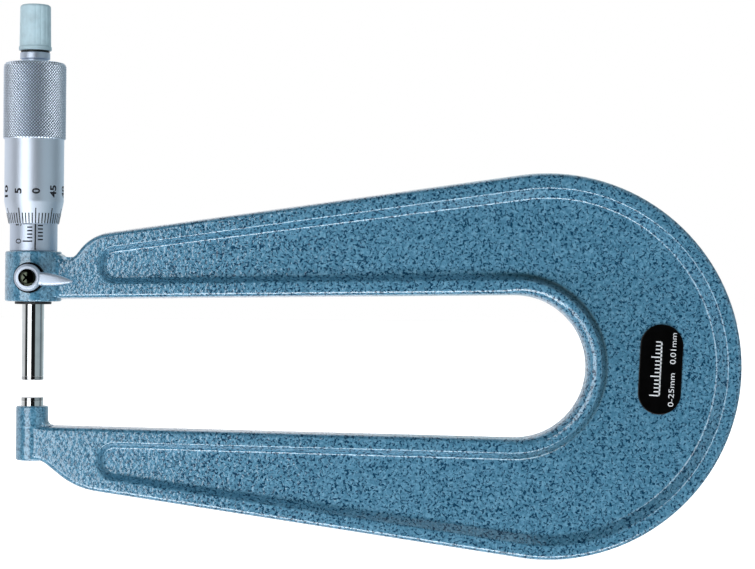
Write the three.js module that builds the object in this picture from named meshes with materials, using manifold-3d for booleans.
// A deep-throat outside micrometer, 0-25 mm, with a ratchet stop and a spindle clamp lever.
// Millimetres. The origin is the centre of the anvil's measuring face. +Z runs up the spindle axis
// to the ratchet, +X into the throat, and -Y is the side with the clamp lever and the nameplate.
import * as THREE from "three";
import { mergeVertices } from "three/addons/utils/BufferGeometryUtils.js";
import Module from "manifold-3d";

const wasm = await Module();
wasm.setup();

// ---- Driving dimensions ----

const reading = 5.0; // distance between the measuring faces at rest
const travel = 25.0; // measuring range of the screw
const zeroMark = 44.8; // height of the sleeve's zero mark

// The horseshoe frame, symmetric about the height frameMiddle.
const frameMiddle = 10.1;
const frameThickness = 9.2;
const webThickness = 4.2;
const rimWidth = 4.3;
const outerBend = { x: 148.5, radius: 55.7, taper: degrees(8.4) };
const innerBend = { x: 138.8, radius: 20.45, taper: degrees(1.02) };
const pocketEnd = { x: 19.3, radius: 4.7 };
// Where the jaws' outer edges swell out from the bosses: each corner's place and its rounding.
const upperValley = { x: 11.9, radius: 3.2 };
const upperShoulder = { x: 16.8, radius: 12.5 };
const lowerShoulder = { x: 13.0, radius: 22 };
const lowerValley = { x: 2.9, radius: 6 };

// The bosses that carry the anvil and the screw.
const lowerBoss = { radius: 4.625, bottom: -18.1, top: -2.45 };
const upperBoss = { radius: 8.1, bottom: 27.6, top: 42.0 };
const jawTop = 40.6;
const anvilBottom = -14;
const wiperRing = { radius: 5.25, thickness: 0.75, clearance: 0.15 };

// The measuring screw.
const spindleRadius = 3.175;
const threadRadius = 3.6;
const tipHeight = 1.0; // carbide tips on the anvil and the spindle
const nutThread = { bottom: 70, top: 78 };
const thread = { bottom: nutThread.bottom - (travel - reading), top: nutThread.top + reading };
const cone = { bottom: 84, bottomRadius: 3.5, top: 91, topRadius: 2.8 };
const drawThread = { radius: 1.5, bottom: 83, holeBottom: 82.5 }; // holds the thimble on the cone

// Sleeves.
const innerSleeve = { radius: 5.5, guideTop: 44, shoulder: 72, endRadius: 4.8 };
const outerSleeve = { radius: 6.8, top: 73 };
const spannerHole = { radius: 0.8, aboveZero: 1.2 };
const adjustingNut = { radius: 6.3, bottom: 73.3, height: 4, slotWidth: 1.2, slotDepth: 0.8 };

// Thimble.
const thimble = { edge: zeroMark + reading, taperTop: 56.3, knurlBottom: 74.2, top: 96.4 };
const thimbleRadius = { edge: 7.15, body: 8.5, knurl: 9.0, bore: 6.95 };
const hub = { wall: 88, bottom: 84.5, radius: 5.0 };

// Ratchet stop.
const collar = { radius: 4.4, bottom: 97.0, top: 99.5 };
const post = { radius: 1.6, top: 108.7, holeRadius: 0.85, holeBottom: 102 };
const cap = { bottom: 99.8, top: 113.0, flangeTop: 100.9, web: 106.8, seat: 108.6 };
const capRadius = { flange: 4.85, bottom: 4.65, top: 4.55, bore: 3.7, mouth: 3.3 };
const ratchetTeeth = { count: 12, height: 0.3, radius: 3.8 };
const ratchetRingHeight = 2.1;
const ratchetWasher = { radius: 2.9, thickness: 0.5 };
const ratchetScrew = { shankRadius: 0.75, bottom: 103, headRadius: 2.5, headHeight: 1.5, slotWidth: 0.6 };
const spring = { bottom: 102.05, top: 106.35, radius: 2.6, wireRadius: 0.28, turns: 4 };

// Spindle clamp: its axis crosses the spindle's at clampHeight and points to -Y. Distances along it
// are measured outwards from the spindle axis.
const clampHeight = 34.4;
const clampPad = { radius: 2.05, inner: 3.3, outer: 4.6 };
const clampStem = { radius: 2.1, inner: 4.7, shoulder: 9.05, shankRadius: 1.6, outer: 11.2 };
const clampStemHole = { radius: 0.85, inner: 7.0 };
const clampBush = { radius: 4.2, inner: 6.85, outer: 9.0 };
const lever = { radius: 3.9, inner: 9.15, outer: 11.5, length: 12.8, droop: degrees(4.5) };
const leverFinger = { half: 1.9, straightEnd: 3.0, tipHalf: 0.35, inner: 9.35, outer: 11.2 };
const clampScrew = { shankRadius: 0.75, shankEnd: 7.5, headRadius: 2.45, inner: 11.55, outer: 13.0 };

const nameplate = { x: 181.5, z: 9.6, width: 11.55, length: 26.0, thickness: 0.5, tilt: degrees(2.5) };

// Clearances.
const runningGap = 0.05; // radial, between a shaft and its hole
const seatGap = 0.05; // between two fixed pieces that touch
const overcut = 1; // how far a cutter runs past the face it cuts

const roundSides = 40; // sides of the larger turned pieces
const thimbleSides = 48;
const smallSides = 20; // sides of screws and pins

// ---- Building blocks ----

function degrees(angle) {
  return (angle * Math.PI) / 180;
}

// A closed geometry as a solid that can be joined and cut.
function solidOf(geometry) {
  const bare = geometry.clone();
  bare.deleteAttribute("normal");
  bare.deleteAttribute("uv");
  const merged = mergeVertices(bare, 1e-5);
  const vertProperties = merged.attributes.position.array;
  const triVerts = new Uint32Array(merged.index.array);
  return new wasm.Manifold(new wasm.Mesh({ numProp: 3, vertProperties, triVerts }));
}

function geometryOf(solid) {
  const mesh = solid.getMesh();
  const geometry = new THREE.BufferGeometry();
  geometry.setAttribute("position", new THREE.BufferAttribute(mesh.vertProperties, 3));
  geometry.setIndex(new THREE.BufferAttribute(mesh.triVerts, 1));
  geometry.computeVertexNormals();
  return geometry;
}

function joined(...geometries) {
  return geometryOf(geometries.map(solidOf).reduce((sum, piece) => sum.add(piece)));
}

function cut(geometry, ...cutters) {
  return geometryOf(cutters.map(solidOf).reduce((rest, cutter) => rest.subtract(cutter), solidOf(geometry)));
}

// A piece turned about the Z axis. The profile is [radius, height] points, going up its outer side.
// It starts and ends on the axis, or closes on itself round a bore.
function turned(profile, sides = roundSides) {
  const points = profile.map(([radius, height]) => new THREE.Vector2(radius, height));
  if (profile[0][0] > 0) points.push(points[0].clone());
  return new THREE.LatheGeometry(points, sides).rotateX(Math.PI / 2);
}

function disc(radius, bottom, top, sides) {
  return turned([[0, bottom], [radius, bottom], [radius, top], [0, top]], sides);
}

function ring(boreRadius, radius, bottom, top, sides) {
  return turned([[boreRadius, bottom], [radius, bottom], [radius, top], [boreRadius, top]], sides);
}

// Turns a piece made about the Z axis onto the clamp's axis: its height becomes the distance out.
function ontoClampAxis(geometry) {
  return geometry.rotateX(Math.PI / 2).translate(0, 0, clampHeight);
}

// A plate with its outline in the XZ plane, from y = back to y = front, where front is the lower.
function plate(outline, front, back, curveSegments = 2) {
  const settings = { depth: back - front, bevelEnabled: false, curveSegments };
  return new THREE.ExtrudeGeometry(outline, settings).rotateX(Math.PI / 2).translate(0, back, 0);
}

const longestArc = degrees(30); // a longer bend is drawn as several arcs, so that each stays smooth

function addArc(shape, x, z, radius, from, to) {
  const pieces = Math.ceil(Math.abs(to - from) / longestArc);
  for (let i = 0; i < pieces; i++) {
    const start = from + ((to - from) * i) / pieces;
    const end = from + ((to - from) * (i + 1)) / pieces;
    shape.absarc(x, z, radius, start, end, to < from);
  }
}

// Rounds the corner between the points before and after it with a tangent arc.
function addCorner(shape, before, corner, after, radius) {
  const at = new THREE.Vector2(...corner);
  const back = new THREE.Vector2(...before).sub(at).normalize();
  const ahead = new THREE.Vector2(...after).sub(at).normalize();
  const halfAngle = Math.acos(THREE.MathUtils.clamp(back.dot(ahead), -1, 1)) / 2;
  const towardsCentre = back.clone().add(ahead).normalize();
  const centre = at.clone().addScaledVector(towardsCentre, radius / Math.sin(halfAngle));
  const from = at.clone().addScaledVector(back, radius / Math.tan(halfAngle)).sub(centre).angle();
  const turn = (Math.PI - 2 * halfAngle) * Math.sign(ahead.cross(back));
  addArc(shape, centre.x, centre.y, radius, from, from + turn);
}

// ---- Frame ----

// The height of the frame's tapered outer edge at x, set in by inset; side is 1 above, -1 below.
function outerEdge(x, side, inset = 0) {
  const { radius, taper } = outerBend;
  const halfHeight = (radius - inset) / Math.cos(taper) + (x - outerBend.x) * Math.tan(taper);
  return frameMiddle + side * halfHeight;
}

// The same for the edge of the throat, set into the metal by inset.
function throatEdge(x, side, inset = 0) {
  const { radius, taper } = innerBend;
  const halfHeight = (radius + inset) / Math.cos(taper) + (x - innerBend.x) * Math.tan(taper);
  return frameMiddle + side * halfHeight;
}

function frameOutline() {
  const quarter = Math.PI / 2;
  const valleyAbove = [upperValley.x, jawTop];
  const shoulderAbove = [upperShoulder.x, outerEdge(upperShoulder.x, 1)];
  const shoulderBelow = [lowerShoulder.x, outerEdge(lowerShoulder.x, -1)];
  const valleyBelow = [lowerValley.x, lowerBoss.bottom];
  const farUp = [outerBend.x, outerEdge(outerBend.x, 1)];
  const farDown = [outerBend.x, outerEdge(outerBend.x, -1)];

  const shape = new THREE.Shape();
  shape.moveTo(0, throatEdge(0, 1));
  shape.lineTo(0, jawTop);
  addCorner(shape, [0, jawTop], valleyAbove, shoulderAbove, upperValley.radius);
  addCorner(shape, valleyAbove, shoulderAbove, farUp, upperShoulder.radius);
  const outerTurn = quarter + outerBend.taper;
  addArc(shape, outerBend.x, frameMiddle, outerBend.radius, outerTurn, -outerTurn);
  addCorner(shape, farDown, shoulderBelow, valleyBelow, lowerShoulder.radius);
  addCorner(shape, shoulderBelow, valleyBelow, [0, lowerBoss.bottom], lowerValley.radius);
  shape.lineTo(0, lowerBoss.bottom);
  shape.lineTo(0, throatEdge(0, -1));
  const innerTurn = quarter + innerBend.taper;
  addArc(shape, innerBend.x, frameMiddle, innerBend.radius, -innerTurn, innerTurn);
  shape.closePath();
  return shape;
}

// The pocket that leaves a rim along the outside and the throat, with round ends near the bosses.
function pocketOutline() {
  const { x: endX, radius } = pocketEnd;
  const quarter = Math.PI / 2;
  const outerCorner = (side) => [endX, outerEdge(endX, side, rimWidth)];
  const innerCorner = (side) => [endX, throatEdge(endX, side, rimWidth)];
  const outerFar = (side) => [outerBend.x, outerEdge(outerBend.x, side, rimWidth)];
  const innerFar = (side) => [innerBend.x, throatEdge(innerBend.x, side, rimWidth)];

  const shape = new THREE.Shape();
  addCorner(shape, innerCorner(1), outerCorner(1), outerFar(1), radius);
  const outerTurn = quarter + outerBend.taper;
  addArc(shape, outerBend.x, frameMiddle, outerBend.radius - rimWidth, outerTurn, -outerTurn);
  addCorner(shape, outerFar(-1), outerCorner(-1), innerCorner(-1), radius);
  addCorner(shape, outerCorner(-1), innerCorner(-1), innerFar(-1), radius);
  const innerTurn = quarter + innerBend.taper;
  addArc(shape, innerBend.x, frameMiddle, innerBend.radius + rimWidth, -innerTurn, innerTurn);
  addCorner(shape, innerFar(1), innerCorner(1), outerCorner(1), radius);
  shape.closePath();
  return shape;
}

function frameGeometry() {
  const halfFrame = frameThickness / 2;
  const halfWeb = webThickness / 2;
  const rounding = 0.8;
  const boss = turned([
    [0, upperBoss.bottom],
    [upperBoss.radius - rounding, upperBoss.bottom],
    [upperBoss.radius, upperBoss.bottom + rounding],
    [upperBoss.radius, upperBoss.top - rounding],
    [upperBoss.radius - rounding, upperBoss.top],
    [0, upperBoss.top],
  ]);
  const anvilBoss = disc(lowerBoss.radius, lowerBoss.bottom, lowerBoss.top);
  const body = joined(plate(frameOutline(), -halfFrame, halfFrame), boss, anvilBoss);

  const pocket = pocketOutline();
  const frontPocket = plate(pocket, -halfFrame - overcut, -halfWeb);
  const backPocket = plate(pocket, halfWeb, halfFrame + overcut);
  const sleeveBore = disc(innerSleeve.radius + seatGap, upperBoss.bottom - overcut, upperBoss.top + overcut);
  const anvilBore = disc(spindleRadius + seatGap, anvilBottom - seatGap, lowerBoss.top + overcut);
  const clampBore = ontoClampAxis(disc(clampStem.radius + runningGap, 0, upperBoss.radius, smallSides));
  const clampSeat = ontoClampAxis(
    disc(clampBush.radius + seatGap, clampBush.inner - seatGap, upperBoss.radius + overcut),
  );
  return cut(body, frontPocket, backPocket, sleeveBore, anvilBore, clampBore, clampSeat);
}

// A stadium-shaped label lying on the floor of the front pocket.
function nameplateGeometry() {
  const end = nameplate.width / 2;
  const straight = (nameplate.length - nameplate.width) / 2;
  const shape = new THREE.Shape();
  addArc(shape, 0, straight, end, 0, Math.PI);
  addArc(shape, 0, -straight, end, Math.PI, 2 * Math.PI);
  shape.closePath();
  const back = -webThickness / 2 - seatGap;
  return plate(shape, back - nameplate.thickness, back)
    .rotateY(nameplate.tilt)
    .translate(nameplate.x, 0, nameplate.z);
}

// ---- Anvil ----

function anvilGeometry() {
  return disc(spindleRadius, anvilBottom, -tipHeight - seatGap);
}

// A carbide tip: its measuring face is at height face, and direction points from the face into it.
function tipGeometry(face, direction) {
  const chamfer = 0.12;
  const side = [
    [0, face],
    [spindleRadius - chamfer, face],
    [spindleRadius, face + direction * chamfer],
    [spindleRadius, face + direction * tipHeight],
    [0, face + direction * tipHeight],
  ];
  return turned(direction > 0 ? side : side.reverse());
}

// ---- Sleeves ----

function innerSleeveGeometry() {
  const { radius, guideTop, shoulder, endRadius } = innerSleeve;
  const guideRadius = spindleRadius + runningGap;
  const nutRadius = threadRadius + runningGap;
  const clearRadius = threadRadius + 0.4;
  const tube = turned([
    [guideRadius, upperBoss.bottom],
    [radius, upperBoss.bottom],
    [radius, shoulder],
    [endRadius, shoulder],
    [endRadius, nutThread.top],
    [nutRadius, nutThread.top],
    [nutRadius, nutThread.bottom],
    [clearRadius, nutThread.bottom],
    [clearRadius, guideTop],
    [guideRadius, guideTop],
  ]);
  const padHole = ontoClampAxis(disc(clampStem.radius + runningGap, 0, radius + overcut, smallSides));
  return cut(tube, padHole, ...nutSlits());
}

// Three slits let the adjusting nut squeeze the end of the inner sleeve onto the spindle's thread.
function nutSlits() {
  const slitCount = 3;
  const slitWidth = 0.6;
  const length = nutThread.top - innerSleeve.shoulder + overcut;
  return Array.from({ length: slitCount }, (_, i) =>
    new THREE.BoxGeometry(innerSleeve.radius, slitWidth, length)
      .translate(innerSleeve.radius / 2, 0, innerSleeve.shoulder + length / 2)
      .rotateZ((i * 2 * Math.PI) / slitCount),
  );
}

function outerSleeveGeometry() {
  const bottom = upperBoss.top + seatGap;
  const tube = ring(innerSleeve.radius + seatGap, outerSleeve.radius, bottom, outerSleeve.top);
  const hole = disc(spannerHole.radius, 0, outerSleeve.radius + overcut, smallSides)
    .rotateX(-Math.PI / 2)
    .translate(0, 0, zeroMark + spannerHole.aboveZero);
  return cut(tube, hole);
}

function adjustingNutGeometry() {
  const { radius, bottom, height, slotWidth, slotDepth } = adjustingNut;
  const top = bottom + height;
  const nut = ring(innerSleeve.endRadius + seatGap, radius, bottom, top);
  const spannerSlot = new THREE.BoxGeometry(2 * radius + overcut, slotWidth, 2 * slotDepth);
  return cut(nut, spannerSlot.translate(0, 0, top));
}

function wiperRingGeometry() {
  const top = upperBoss.bottom - seatGap;
  return ring(spindleRadius + wiperRing.clearance, wiperRing.radius, top - wiperRing.thickness, top);
}

// ---- Spindle and thimble ----

function spindleGeometry() {
  const bottom = reading + tipHeight + seatGap;
  const threadChamfer = 0.4;
  const neckRadius = 3.0;
  const holeRadius = drawThread.radius + runningGap;
  return turned([
    [0, bottom],
    [spindleRadius, bottom],
    [spindleRadius, thread.bottom - threadChamfer],
    [threadRadius, thread.bottom],
    [threadRadius, thread.top - threadChamfer],
    [neckRadius, thread.top],
    [neckRadius, cone.bottom],
    [cone.bottomRadius, cone.bottom],
    [cone.topRadius, cone.top],
    [holeRadius, cone.top],
    [holeRadius, drawThread.holeBottom],
    [0, drawThread.holeBottom],
  ]);
}

function thimbleGeometry() {
  const chamfer = 0.6;
  return turned([
    [thimbleRadius.bore, thimble.edge],
    [thimbleRadius.edge, thimble.edge],
    [thimbleRadius.body, thimble.taperTop],
    [thimbleRadius.body, thimble.knurlBottom],
    [thimbleRadius.knurl, thimble.knurlBottom],
    [thimbleRadius.knurl, thimble.top - chamfer],
    [thimbleRadius.knurl - chamfer, thimble.top],
    [cone.topRadius + seatGap, thimble.top],
    [cone.topRadius + seatGap, cone.top],
    [cone.bottomRadius + seatGap, hub.bottom],
    [hub.radius, hub.bottom],
    [hub.radius, hub.wall],
    [thimbleRadius.bore, hub.wall],
  ], thimbleSides);
}

// ---- Ratchet stop ----

// One saw tooth of the crown: a sector whose top rises from height 0 to the tooth's height. It
// reaches a little under its neighbour, so that the teeth join without a seam. The wedge that gives
// the slope is twice as wide as the tooth, and so is its rise.
function crownTooth() {
  const { count, height, radius } = ratchetTeeth;
  const halfPitch = Math.PI / count;
  const halfWidth = radius * Math.tan(halfPitch);
  const buried = 0.2;
  const reach = degrees(1);
  const wedge = new THREE.Shape();
  wedge.moveTo(-2 * halfWidth, -buried);
  wedge.lineTo(2 * halfWidth, -buried);
  wedge.lineTo(2 * halfWidth, 1.5 * height);
  wedge.lineTo(-2 * halfWidth, -0.5 * height);
  const sector = new THREE.Shape();
  sector.moveTo(0, 0);
  sector.absarc(0, 0, radius, -halfPitch - reach, halfPitch, false);
  const settings = { depth: radius, bevelEnabled: false, curveSegments: 1 };
  const slope = new THREE.ExtrudeGeometry(wedge, settings).rotateX(Math.PI / 2).rotateZ(Math.PI / 2);
  const wedgeSolid = solidOf(slope);
  const sectorSolid = solidOf(new THREE.ExtrudeGeometry(sector, settings).translate(0, 0, -buried));
  return geometryOf(wedgeSolid.intersect(sectorSolid));
}

// A ring of saw teeth with its valleys at baseHeight.
function crown(baseHeight) {
  const tooth = crownTooth().translate(0, 0, baseHeight);
  const { count } = ratchetTeeth;
  return Array.from({ length: count }, (_, i) => tooth.clone().rotateZ((i * 2 * Math.PI) / count));
}

function ratchetStemGeometry() {
  const neckRadius = cone.topRadius - 0.1;
  const bevel = 0.3;
  const stem = turned([
    [0, drawThread.bottom],
    [drawThread.radius, drawThread.bottom],
    [drawThread.radius, cone.top + seatGap],
    [neckRadius, cone.top + seatGap],
    [neckRadius, thimble.top + seatGap],
    [collar.radius - bevel, thimble.top + seatGap],
    [collar.radius - bevel, collar.bottom - bevel],
    [collar.radius, collar.bottom],
    [collar.radius, collar.top - bevel],
    [collar.radius - bevel, collar.top],
    [post.radius, collar.top],
    [post.radius, post.top],
    [post.holeRadius, post.top],
    [post.holeRadius, post.holeBottom],
    [0, post.holeBottom],
  ]);
  return joined(stem, ...crown(collar.top));
}

function ratchetCapGeometry() {
  const chamfer = 0.5;
  return turned([
    [capRadius.bore, cap.bottom],
    [capRadius.flange, cap.bottom],
    [capRadius.flange, cap.flangeTop],
    [capRadius.bottom, cap.flangeTop],
    [capRadius.top, cap.top - chamfer],
    [capRadius.top - chamfer, cap.top],
    [capRadius.mouth, cap.top],
    [capRadius.mouth, cap.seat],
    [post.radius + runningGap, cap.seat],
    [post.radius + runningGap, cap.web],
    [capRadius.bore, cap.web],
  ]);
}

// The ring's teeth are the gaps that the collar's crown leaves, so that the two are in mesh.
function ratchetRingGeometry() {
  const bottom = collar.top + seatGap;
  const top = bottom + ratchetRingHeight;
  const blank = ring(post.radius + runningGap, capRadius.bore - runningGap, bottom, top);
  return cut(blank, ...crown(bottom));
}

class Helix extends THREE.Curve {
  getPoint(t) {
    const angle = 2 * Math.PI * spring.turns * t;
    const height = THREE.MathUtils.lerp(spring.bottom, spring.top, t);
    return new THREE.Vector3(spring.radius * Math.cos(angle), spring.radius * Math.sin(angle), height);
  }
}

function ratchetSpringGeometry() {
  const section = new THREE.Shape();
  section.absarc(0, 0, spring.wireRadius, 0, 2 * Math.PI, false);
  const steps = spring.turns * 14;
  return new THREE.ExtrudeGeometry(section, { extrudePath: new Helix(), steps, curveSegments: 3 });
}

// A machine screw standing on the Z axis with its head up, from the shank's end to the head's top.
function screwGeometry(shankRadius, headRadius, shankEnd, headBottom, headTop) {
  const crown = 0.35;
  return turned([
    [0, shankEnd],
    [shankRadius, shankEnd],
    [shankRadius, headBottom],
    [headRadius, headBottom],
    [headRadius, headTop - crown],
    [headRadius - crown, headTop],
    [0, headTop],
  ], smallSides);
}

function ratchetWasherGeometry() {
  const bottom = post.top + seatGap;
  return ring(post.holeRadius, ratchetWasher.radius, bottom, bottom + ratchetWasher.thickness, smallSides);
}

function ratchetScrewGeometry() {
  const { shankRadius, bottom, headRadius, headHeight, slotWidth } = ratchetScrew;
  const headBottom = post.top + ratchetWasher.thickness + 2 * seatGap;
  const headTop = headBottom + headHeight;
  const screw = screwGeometry(shankRadius, headRadius, bottom, headBottom, headTop);
  const slot = new THREE.BoxGeometry(2 * headRadius + overcut, slotWidth, 2 * slotWidth);
  return cut(screw, slot.translate(0, 0, headTop));
}

// ---- Spindle clamp ----

function clampPadGeometry() {
  return ontoClampAxis(disc(clampPad.radius, clampPad.inner, clampPad.outer, smallSides));
}

function clampStemGeometry() {
  return ontoClampAxis(turned([
    [0, clampStem.inner],
    [clampStem.radius, clampStem.inner],
    [clampStem.radius, clampStem.shoulder],
    [clampStem.shankRadius, clampStem.shoulder],
    [clampStem.shankRadius, clampStem.outer],
    [clampStemHole.radius, clampStem.outer],
    [clampStemHole.radius, clampStemHole.inner],
    [0, clampStemHole.inner],
  ], smallSides));
}

function clampBushGeometry() {
  const bore = clampStem.radius + runningGap;
  return ontoClampAxis(ring(bore, clampBush.radius, clampBush.inner, clampBush.outer));
}

function clampLeverGeometry() {
  const { half, straightEnd, tipHalf, inner, outer } = leverFinger;
  const bulgeX = lever.length * 0.8; // the edges curve in from here to the tip
  const edgeSegments = 6;
  const finger = new THREE.Shape();
  finger.moveTo(0, -half);
  finger.lineTo(straightEnd, -half);
  finger.quadraticCurveTo(bulgeX, -half, lever.length, -tipHalf);
  finger.lineTo(lever.length, tipHalf);
  finger.quadraticCurveTo(bulgeX, half, straightEnd, half);
  finger.lineTo(0, half);
  const fingerPlate = plate(finger, -outer, -inner, edgeSegments)
    .rotateY(lever.droop)
    .translate(0, 0, clampHeight);
  const eye = ontoClampAxis(disc(lever.radius, lever.inner, lever.outer));
  const hole = ontoClampAxis(disc(clampStem.shankRadius + seatGap, 0, lever.outer + overcut, smallSides));
  return cut(joined(eye, fingerPlate), hole);
}

function clampScrewGeometry() {
  const { shankRadius, shankEnd, headRadius, inner, outer } = clampScrew;
  const recess = { width: 0.7, length: 2.6, depth: 1.0 };
  const screw = screwGeometry(shankRadius, headRadius, shankEnd, inner, outer);
  const slot = () => new THREE.BoxGeometry(recess.length, recess.width, 2 * recess.depth);
  const slots = [slot(), slot().rotateZ(Math.PI / 2)].map((box) => box.translate(0, 0, outer));
  return ontoClampAxis(cut(screw, ...slots));
}

// ---- Materials and assembly ----

function finish(color, roughness, metalness) {
  return { color, roughness, metalness };
}

const hammerPaint = finish(0x4c7a93, 0.45, 0.1);
const polishedSteel = finish(0xc8cac8, 0.15, 1.0);
const carbide = finish(0x8d8f8e, 0.25, 0.9);
const satinChrome = finish(0xb9c0c8, 0.4, 0.9);
const darkSteel = finish(0x77797c, 0.45, 0.9);
const brass = finish(0xb58d3c, 0.35, 1.0);
const blackPlastic = finish(0x101112, 0.5, 0.0);
const blackSteel = finish(0x1a1b1c, 0.35, 0.8);
const grip = finish(0xb3bccb, 0.5, 0.0);

const pieces = [
  ["frame", frameGeometry(), hammerPaint],
  ["nameplate", nameplateGeometry(), blackPlastic],
  ["anvil", anvilGeometry(), polishedSteel],
  ["anvil_tip", tipGeometry(0, -1), carbide],
  ["inner_sleeve", innerSleeveGeometry(), darkSteel],
  ["outer_sleeve", outerSleeveGeometry(), satinChrome],
  ["adjusting_nut", adjustingNutGeometry(), darkSteel],
  ["wiper_ring", wiperRingGeometry(), blackPlastic],
  ["clamp_bush", clampBushGeometry(), blackSteel],
  ["spindle_tip", tipGeometry(reading, 1), carbide],
  ["spindle", spindleGeometry(), polishedSteel],
  ["thimble", thimbleGeometry(), satinChrome],
  ["ratchet_stem", ratchetStemGeometry(), polishedSteel],
  ["ratchet_washer", ratchetWasherGeometry(), darkSteel],
  ["ratchet_screw", ratchetScrewGeometry(), darkSteel],
  ["ratchet_cap", ratchetCapGeometry(), grip],
  ["ratchet_ring", ratchetRingGeometry(), darkSteel],
  ["ratchet_spring", ratchetSpringGeometry(), darkSteel],
  ["clamp_stem", clampStemGeometry(), darkSteel],
  ["clamp_pad", clampPadGeometry(), brass],
  ["clamp_lever", clampLeverGeometry(), satinChrome],
  ["clamp_screw", clampScrewGeometry(), blackSteel],
];

const micrometer = new THREE.Group();
for (const [name, geometry, look] of pieces) {
  const mesh = new THREE.Mesh(geometry, new THREE.MeshStandardMaterial(look));
  mesh.name = name;
  micrometer.add(mesh);
}

export default micrometer;
